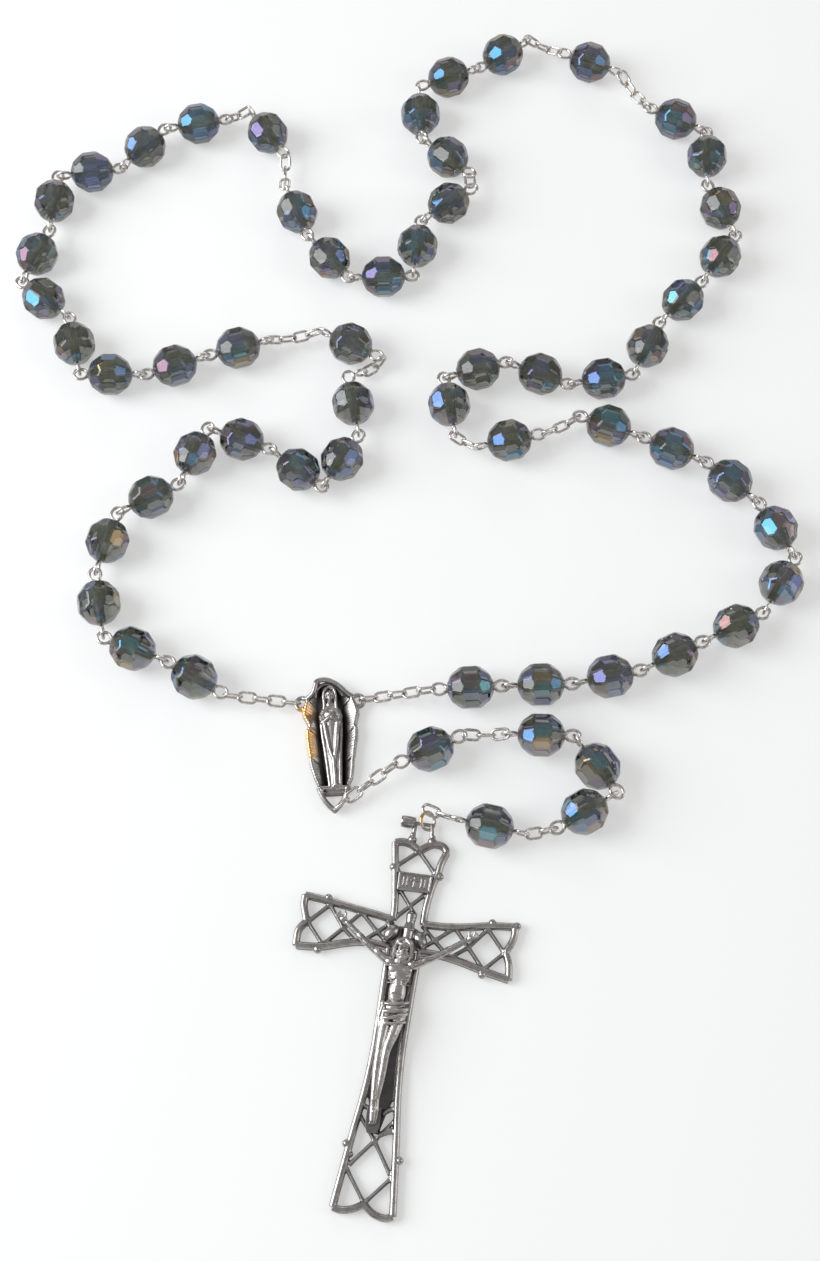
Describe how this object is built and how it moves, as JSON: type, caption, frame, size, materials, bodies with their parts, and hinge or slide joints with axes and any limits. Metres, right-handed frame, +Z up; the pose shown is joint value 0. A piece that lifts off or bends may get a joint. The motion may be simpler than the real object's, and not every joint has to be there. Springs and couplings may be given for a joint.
{
  "type": "rosary",
  "caption": "Loop of faceted glass beads on silver eye pins, with short chains, a medal and a pendant ending in an openwork crucifix, lying flat.",
  "frame": {"origin": "centre of the bounding box, on the surface it lies on", "axes": "+Y from the crucifix's foot to the far end of the bead loop, +Z up from the surface it lies on, +X to the right seen from above"},
  "size_m": [0.1322, 0.2052, 0.0065],
  "materials": {
    "glass_beads": "smoky grey-olive faceted glass, iridescent coating; its silver pin is part of the same node",
    "aged_silver": "cast silver-coloured metal, darkened in the recesses, polished where it is raised"
  },
  "bodies": {
    "centrepiece": {"centrepiece": "aged_silver"},
    "crucifix": {"crucifix_frame": "aged_silver", "corpus": "aged_silver"},
    "hail_mary_1_01": {"hail_mary_1_01": "glass_beads"},
    "hail_mary_1_02": {"hail_mary_1_02": "glass_beads"},
    "hail_mary_1_03": {"hail_mary_1_03": "glass_beads"},
    "hail_mary_1_04": {"hail_mary_1_04": "glass_beads"},
    "hail_mary_1_05": {"hail_mary_1_05": "glass_beads"},
    "hail_mary_1_06": {"hail_mary_1_06": "glass_beads"},
    "hail_mary_1_07": {"hail_mary_1_07": "glass_beads"},
    "hail_mary_1_08": {"hail_mary_1_08": "glass_beads"},
    "hail_mary_1_09": {"hail_mary_1_09": "glass_beads"},
    "hail_mary_1_10": {"hail_mary_1_10": "glass_beads"},
    "our_father_1": {"our_father_1": "glass_beads"},
    "hail_mary_2_01": {"hail_mary_2_01": "glass_beads"},
    "hail_mary_2_02": {"hail_mary_2_02": "glass_beads"},
    "hail_mary_2_03": {"hail_mary_2_03": "glass_beads"},
    "hail_mary_2_04": {"hail_mary_2_04": "glass_beads"},
    "hail_mary_2_05": {"hail_mary_2_05": "glass_beads"},
    "hail_mary_2_06": {"hail_mary_2_06": "glass_beads"},
    "hail_mary_2_07": {"hail_mary_2_07": "glass_beads"},
    "hail_mary_2_08": {"hail_mary_2_08": "glass_beads"},
    "hail_mary_2_09": {"hail_mary_2_09": "glass_beads"},
    "hail_mary_2_10": {"hail_mary_2_10": "glass_beads"},
    "our_father_2": {"our_father_2": "glass_beads"},
    "hail_mary_3_01": {"hail_mary_3_01": "glass_beads"},
    "hail_mary_3_02": {"hail_mary_3_02": "glass_beads"},
    "hail_mary_3_03": {"hail_mary_3_03": "glass_beads"},
    "hail_mary_3_04": {"hail_mary_3_04": "glass_beads"},
    "hail_mary_3_05": {"hail_mary_3_05": "glass_beads"},
    "hail_mary_5_10": {"hail_mary_5_10": "glass_beads"},
    "hail_mary_5_09": {"hail_mary_5_09": "glass_beads"},
    "hail_mary_5_08": {"hail_mary_5_08": "glass_beads"},
    "hail_mary_5_07": {"hail_mary_5_07": "glass_beads"},
    "hail_mary_5_06": {"hail_mary_5_06": "glass_beads"},
    "hail_mary_5_05": {"hail_mary_5_05": "glass_beads"},
    "hail_mary_5_04": {"hail_mary_5_04": "glass_beads"},
    "hail_mary_5_03": {"hail_mary_5_03": "glass_beads"},
    "hail_mary_5_02": {"hail_mary_5_02": "glass_beads"},
    "hail_mary_5_01": {"hail_mary_5_01": "glass_beads"},
    "our_father_4": {"our_father_4": "glass_beads"},
    "hail_mary_4_10": {"hail_mary_4_10": "glass_beads"},
    "hail_mary_4_09": {"hail_mary_4_09": "glass_beads"},
    "hail_mary_4_08": {"hail_mary_4_08": "glass_beads"},
    "hail_mary_4_07": {"hail_mary_4_07": "glass_beads"},
    "hail_mary_4_06": {"hail_mary_4_06": "glass_beads"},
    "hail_mary_4_05": {"hail_mary_4_05": "glass_beads"},
    "hail_mary_4_04": {"hail_mary_4_04": "glass_beads"},
    "hail_mary_4_03": {"hail_mary_4_03": "glass_beads"},
    "hail_mary_4_02": {"hail_mary_4_02": "glass_beads"},
    "hail_mary_4_01": {"hail_mary_4_01": "glass_beads"},
    "our_father_3": {"our_father_3": "glass_beads"},
    "hail_mary_3_09": {"hail_mary_3_09": "glass_beads"},
    "hail_mary_3_07_08": {"hail_mary_3_07_08": "glass_beads"},
    "hail_mary_3_06": {"hail_mary_3_06": "glass_beads"},
    "pendant_our_father_upper": {"pendant_our_father_upper": "glass_beads"},
    "pendant_hail_mary_01": {"pendant_hail_mary_01": "glass_beads"},
    "pendant_hail_mary_02": {"pendant_hail_mary_02": "glass_beads"},
    "pendant_hail_mary_03": {"pendant_hail_mary_03": "glass_beads"},
    "pendant_our_father_lower": {"pendant_our_father_lower": "glass_beads"}
  },
  "joints": [
    {"name": "crucifix_hinge", "type": "hinge", "parent": "pendant_our_father_lower", "child": "crucifix", "pos_m": [0.00492, -0.04477, 0.00125], "axis": [0.988, -0.1547, 0], "range_deg": [-45, 45]},
    {"name": "pendant_our_father_upper_hinge", "type": "hinge", "parent": "centrepiece", "child": "pendant_our_father_upper", "pos_m": [-0.00875, -0.04168, 0.0012], "axis": [-0.5739, 0.8189, 0], "range_deg": [-45, 45]},
    {"name": "pendant_hail_mary_01_hinge", "type": "hinge", "parent": "pendant_our_father_upper", "child": "pendant_hail_mary_01", "pos_m": [0.01769, -0.03065, 0.00323], "axis": [-0.033, -0.9995, 0], "range_deg": [-45, 45]},
    {"name": "pendant_hail_mary_02_hinge", "type": "hinge", "parent": "pendant_hail_mary_01", "child": "pendant_hail_mary_02", "pos_m": [0.02845, -0.03174, 0.00323], "axis": [-0.8164, -0.5774, 0], "range_deg": [-45, 45]},
    {"name": "pendant_hail_mary_03_hinge", "type": "hinge", "parent": "pendant_hail_mary_02", "child": "pendant_hail_mary_03", "pos_m": [0.03357, -0.04057, 0.00323], "axis": [0.5084, -0.8611, 0], "range_deg": [-45, 45]},
    {"name": "pendant_our_father_lower_hinge", "type": "hinge", "parent": "pendant_hail_mary_03", "child": "pendant_our_father_lower", "pos_m": [0.02393, -0.04596, 0.00323], "axis": [0.219, -0.9757, 0], "range_deg": [-45, 45]},
    {"name": "hail_mary_1_01_hinge", "type": "hinge", "parent": "centrepiece", "child": "hail_mary_1_01", "pos_m": [-0.01622, -0.025, 0.0012], "axis": [-0.064, -0.9979, 0], "range_deg": [-45, 45]},
    {"name": "our_father_1_hinge", "type": "hinge", "parent": "hail_mary_1_10", "child": "our_father_1", "pos_m": [-0.00747, 0.03268, 0.00323], "axis": [0.5317, -0.8469, 0], "range_deg": [-10, 45]},
    {"name": "our_father_2_hinge", "type": "hinge", "parent": "hail_mary_2_10", "child": "our_father_2", "pos_m": [-0.02982, 0.08448, 0.00323], "axis": [-0.4642, 0.8857, 0], "range_deg": [-45, 45]},
    {"name": "hail_mary_3_05_hinge", "type": "hinge", "parent": "hail_mary_3_04", "child": "hail_mary_3_05", "pos_m": [0.00491, 0.06344, 0.00323], "axis": [0.5963, -0.8028, 0], "range_deg": [-45, 45]},
    {"name": "hail_mary_5_10_hinge", "type": "hinge", "parent": "centrepiece", "child": "hail_mary_5_10", "pos_m": [-0.00475, -0.02439, 0.0012], "axis": [0.0997, -0.995, 0], "range_deg": [-45, 45]},
    {"name": "our_father_4_hinge", "type": "hinge", "parent": "hail_mary_5_01", "child": "our_father_4", "pos_m": [0.02991, 0.02441, 0.00323], "axis": [0.4663, -0.8846, 0], "range_deg": [-45, 45]},
    {"name": "our_father_3_hinge", "type": "hinge", "parent": "hail_mary_4_01", "child": "our_father_3", "pos_m": [0.04486, 0.08722, 0.00323], "axis": [0.8397, 0.543, 0], "range_deg": [-45, 45]},
    {"name": "hail_mary_3_07_08_hinge", "type": "hinge", "parent": "hail_mary_3_09", "child": "hail_mary_3_07_08", "pos_m": [0.01402, 0.09492, 0.00323], "axis": [0.3444, -0.9388, 0], "range_deg": [-45, 45]},
    {"name": "hail_mary_3_06_hinge", "type": "hinge", "parent": "hail_mary_3_07_08", "child": "hail_mary_3_06", "pos_m": [0.00506, 0.07942, 0.00323], "axis": [-0.6518, -0.7584, 0], "range_deg": [-45, 45]},
    {"name": "hail_mary_1_02_hinge", "type": "hinge", "parent": "hail_mary_1_01", "child": "hail_mary_1_02", "pos_m": [-0.03724, -0.01832, 0.00323], "axis": [-0.3603, -0.9328, 0], "range_deg": [-45, 45]},
    {"name": "hail_mary_1_04_hinge", "type": "hinge", "parent": "hail_mary_1_03", "child": "hail_mary_1_04", "pos_m": [-0.04856, -0.00277, 0.00323], "axis": [0.9623, -0.272, 0], "range_deg": [-45, 45]},
    {"name": "hail_mary_1_06_hinge", "type": "hinge", "parent": "hail_mary_1_05", "child": "hail_mary_1_06", "pos_m": [-0.03557, 0.0132, 0.00323], "axis": [-0.9174, 0.3979, 0], "range_deg": [-45, 45]},
    {"name": "hail_mary_1_08_hinge", "type": "hinge", "parent": "hail_mary_1_07", "child": "hail_mary_1_08", "pos_m": [-0.02031, 0.01814, 0.00323], "axis": [-0.6198, -0.7847, 0], "range_deg": [-45, 45]},
    {"name": "hail_mary_1_10_hinge", "type": "hinge", "parent": "hail_mary_1_09", "child": "hail_mary_1_10", "pos_m": [-0.00646, 0.02213, 0.00323], "axis": [-0.9856, -0.169, 0], "range_deg": [-45, 45]},
    {"name": "hail_mary_2_02_hinge", "type": "hinge", "parent": "hail_mary_2_01", "child": "hail_mary_2_02", "pos_m": [-0.03279, 0.03604, 0.00323], "axis": [0.3307, -0.9437, 0], "range_deg": [-45, 45]},
    {"name": "hail_mary_2_04_hinge", "type": "hinge", "parent": "hail_mary_2_03", "child": "hail_mary_2_04", "pos_m": [-0.05382, 0.0336, 0.00323], "axis": [0.9754, 0.2204, 0], "range_deg": [-45, 45]},
    {"name": "hail_mary_2_06_hinge", "type": "hinge", "parent": "hail_mary_2_05", "child": "hail_mary_2_06", "pos_m": [-0.06445, 0.05142, 0.00323], "axis": [-0.9308, 0.3655, 0], "range_deg": [-45, 45]},
    {"name": "hail_mary_2_08_hinge", "type": "hinge", "parent": "hail_mary_2_07", "child": "hail_mary_2_08", "pos_m": [-0.05911, 0.07222, 0.00323], "axis": [0.1487, -0.9889, 0], "range_deg": [-45, 45]},
    {"name": "hail_mary_2_10_hinge", "type": "hinge", "parent": "hail_mary_2_09", "child": "hail_mary_2_10", "pos_m": [-0.04065, 0.08224, 0.00323], "axis": [-0.1806, 0.9836, 0], "range_deg": [-45, 45]},
    {"name": "hail_mary_3_02_hinge", "type": "hinge", "parent": "hail_mary_3_01", "child": "hail_mary_3_02", "pos_m": [-0.01505, 0.05929, 0.00323], "axis": [-0.7601, -0.6498, 0], "range_deg": [-45, 45]},
    {"name": "hail_mary_3_04_hinge", "type": "hinge", "parent": "hail_mary_3_03", "child": "hail_mary_3_04", "pos_m": [0.00287, 0.05274, 0.00323], "axis": [-0.9919, 0.1268, 0], "range_deg": [-45, 45]},
    {"name": "hail_mary_5_08_hinge", "type": "hinge", "parent": "hail_mary_5_09", "child": "hail_mary_5_08", "pos_m": [0.02897, -0.0222, 0.00323], "axis": [-0.2024, 0.9793, 0], "range_deg": [-45, 45]},
    {"name": "hail_mary_5_06_hinge", "type": "hinge", "parent": "hail_mary_5_07", "child": "hail_mary_5_06", "pos_m": [0.04988, -0.01488, 0.00323], "axis": [0.4385, -0.8987, 0], "range_deg": [-45, 45]},
    {"name": "hail_mary_5_04_hinge", "type": "hinge", "parent": "hail_mary_5_05", "child": "hail_mary_5_04", "pos_m": [0.06451, -0.00009, 0.00323], "axis": [-0.8789, -0.477, 0], "range_deg": [-45, 45]},
    {"name": "hail_mary_5_02_hinge", "type": "hinge", "parent": "hail_mary_5_03", "child": "hail_mary_5_02", "pos_m": [0.05047, 0.01673, 0.00323], "axis": [0.4066, 0.9136, 0], "range_deg": [-45, 45]},
    {"name": "hail_mary_4_10_hinge", "type": "hinge", "parent": "our_father_4", "child": "hail_mary_4_10", "pos_m": [0.00972, 0.02193, 0.00323], "axis": [-0.9847, -0.174, 0], "range_deg": [-45, 45]},
    {"name": "hail_mary_4_08_hinge", "type": "hinge", "parent": "hail_mary_4_09", "child": "hail_mary_4_08", "pos_m": [0.01953, 0.0347, 0.00323], "axis": [-0.3784, -0.9257, 0], "range_deg": [-45, 45]},
    {"name": "hail_mary_4_06_hinge", "type": "hinge", "parent": "hail_mary_4_07", "child": "hail_mary_4_06", "pos_m": [0.04042, 0.03351, 0.00323], "axis": [-0.8966, 0.4429, 0], "range_deg": [-45, 45]},
    {"name": "hail_mary_4_04_hinge", "type": "hinge", "parent": "hail_mary_4_05", "child": "hail_mary_4_04", "pos_m": [0.05321, 0.0515, 0.00323], "axis": [0.8212, -0.5707, 0], "range_deg": [-45, 45]},
    {"name": "hail_mary_4_02_hinge", "type": "hinge", "parent": "hail_mary_4_03", "child": "hail_mary_4_02", "pos_m": [0.05478, 0.07112, 0.00323], "axis": [-0.9991, 0.0433, 0], "range_deg": [-45, 45]},
    {"name": "hail_mary_3_09_hinge", "type": "hinge", "parent": "our_father_3", "child": "hail_mary_3_09", "pos_m": [0.02337, 0.10096, 0.00323], "axis": [0.5588, -0.8293, 0], "range_deg": [-45, 45]},
    {"name": "hail_mary_1_03_hinge", "type": "hinge", "parent": "hail_mary_1_02", "child": "hail_mary_1_03", "pos_m": [-0.04696, -0.01372, 0.00323], "axis": [0.9836, 0.1805, 0], "range_deg": [-45, 45]},
    {"name": "hail_mary_1_05_hinge", "type": "hinge", "parent": "hail_mary_1_04", "child": "hail_mary_1_05", "pos_m": [-0.04496, 0.00752, 0.00323], "axis": [-0.4719, 0.8817, 0], "range_deg": [-45, 45]},
    {"name": "hail_mary_1_07_hinge", "type": "hinge", "parent": "hail_mary_1_06", "child": "hail_mary_1_07", "pos_m": [-0.03063, 0.02227, 0.00323], "axis": [-0.3479, -0.9375, 0], "range_deg": [-45, 45]},
    {"name": "hail_mary_1_09_hinge", "type": "hinge", "parent": "hail_mary_1_08", "child": "hail_mary_1_09", "pos_m": [-0.01178, 0.01257, 0.00323], "axis": [-0.8451, 0.5346, 0], "range_deg": [-45, 45]},
    {"name": "hail_mary_2_01_hinge", "type": "hinge", "parent": "our_father_1", "child": "hail_mary_2_01", "pos_m": [-0.02209, 0.03919, 0.00323], "axis": [-0.2773, 0.9608, 0], "range_deg": [-45, 45]},
    {"name": "hail_mary_2_03_hinge", "type": "hinge", "parent": "hail_mary_2_02", "child": "hail_mary_2_03", "pos_m": [-0.04338, 0.03266, 0.00323], "axis": [-0.0039, -1, 0], "range_deg": [-45, 45]},
    {"name": "hail_mary_2_05_hinge", "type": "hinge", "parent": "hail_mary_2_04", "child": "hail_mary_2_05", "pos_m": [-0.0568, 0.04416, 0.00323], "axis": [0.6252, 0.7805, 0], "range_deg": [-45, 45]},
    {"name": "hail_mary_2_07_hinge", "type": "hinge", "parent": "hail_mary_2_06", "child": "hail_mary_2_07", "pos_m": [-0.06065, 0.06187, 0.00323], "axis": [-0.9981, 0.0615, 0], "range_deg": [-45, 45]},
    {"name": "hail_mary_2_09_hinge", "type": "hinge", "parent": "hail_mary_2_08", "child": "hail_mary_2_09", "pos_m": [-0.04837, 0.07443, 0.00323], "axis": [0.7458, -0.6662, 0], "range_deg": [-45, 45]},
    {"name": "hail_mary_3_01_hinge", "type": "hinge", "parent": "our_father_2", "child": "hail_mary_3_01", "pos_m": [-0.01953, 0.06947, 0.00323], "axis": [-0.9256, -0.3784, 0], "range_deg": [-45, 45]},
    {"name": "hail_mary_3_03_hinge", "type": "hinge", "parent": "hail_mary_3_02", "child": "hail_mary_3_03", "pos_m": [-0.00748, 0.05154, 0.00323], "axis": [-0.0284, 0.9996, 0], "range_deg": [-45, 45]},
    {"name": "hail_mary_5_09_hinge", "type": "hinge", "parent": "hail_mary_5_10", "child": "hail_mary_5_09", "pos_m": [0.01783, -0.02271, 0.00323], "axis": [0.0317, -0.9995, 0], "range_deg": [-45, 45]},
    {"name": "hail_mary_5_07_hinge", "type": "hinge", "parent": "hail_mary_5_08", "child": "hail_mary_5_07", "pos_m": [0.03983, -0.01972, 0.00323], "axis": [-0.4336, 0.9011, 0], "range_deg": [-45, 45]},
    {"name": "hail_mary_5_05_hinge", "type": "hinge", "parent": "hail_mary_5_06", "child": "hail_mary_5_05", "pos_m": [0.05957, -0.00961, 0.00323], "axis": [0.851, -0.5252, 0], "range_deg": [-45, 45]},
    {"name": "hail_mary_5_03_hinge", "type": "hinge", "parent": "hail_mary_5_04", "child": "hail_mary_5_03", "pos_m": [0.05894, 0.00953, 0.00323], "axis": [-0.667, -0.745, 0], "range_deg": [-45, 45]},
    {"name": "hail_mary_5_01_hinge", "type": "hinge", "parent": "hail_mary_5_02", "child": "hail_mary_5_01", "pos_m": [0.04025, 0.02122, 0.00323], "axis": [0.3507, 0.9365, 0], "range_deg": [-45, 45]},
    {"name": "hail_mary_4_09_hinge", "type": "hinge", "parent": "hail_mary_4_10", "child": "hail_mary_4_09", "pos_m": [0.00882, 0.03227, 0.00323], "axis": [0.2712, -0.9625, 0], "range_deg": [-45, 45]},
    {"name": "hail_mary_4_07_hinge", "type": "hinge", "parent": "hail_mary_4_08", "child": "hail_mary_4_07", "pos_m": [0.02991, 0.03098, 0.00323], "axis": [-0.1673, 0.9859, 0], "range_deg": [-45, 45]},
    {"name": "hail_mary_4_05_hinge", "type": "hinge", "parent": "hail_mary_4_06", "child": "hail_mary_4_05", "pos_m": [0.04559, 0.04336, 0.00323], "axis": [0.7213, -0.6927, 0], "range_deg": [-45, 45]},
    {"name": "hail_mary_4_03_hinge", "type": "hinge", "parent": "hail_mary_4_04", "child": "hail_mary_4_03", "pos_m": [0.0587, 0.06076, 0.00323], "axis": [-0.9225, -0.386, 0], "range_deg": [-45, 45]},
    {"name": "hail_mary_4_01_hinge", "type": "hinge", "parent": "hail_mary_4_02", "child": "hail_mary_4_01", "pos_m": [0.05441, 0.08178, 0.00323], "axis": [0.4615, 0.8872, 0], "range_deg": [-45, 45]}
  ]
}
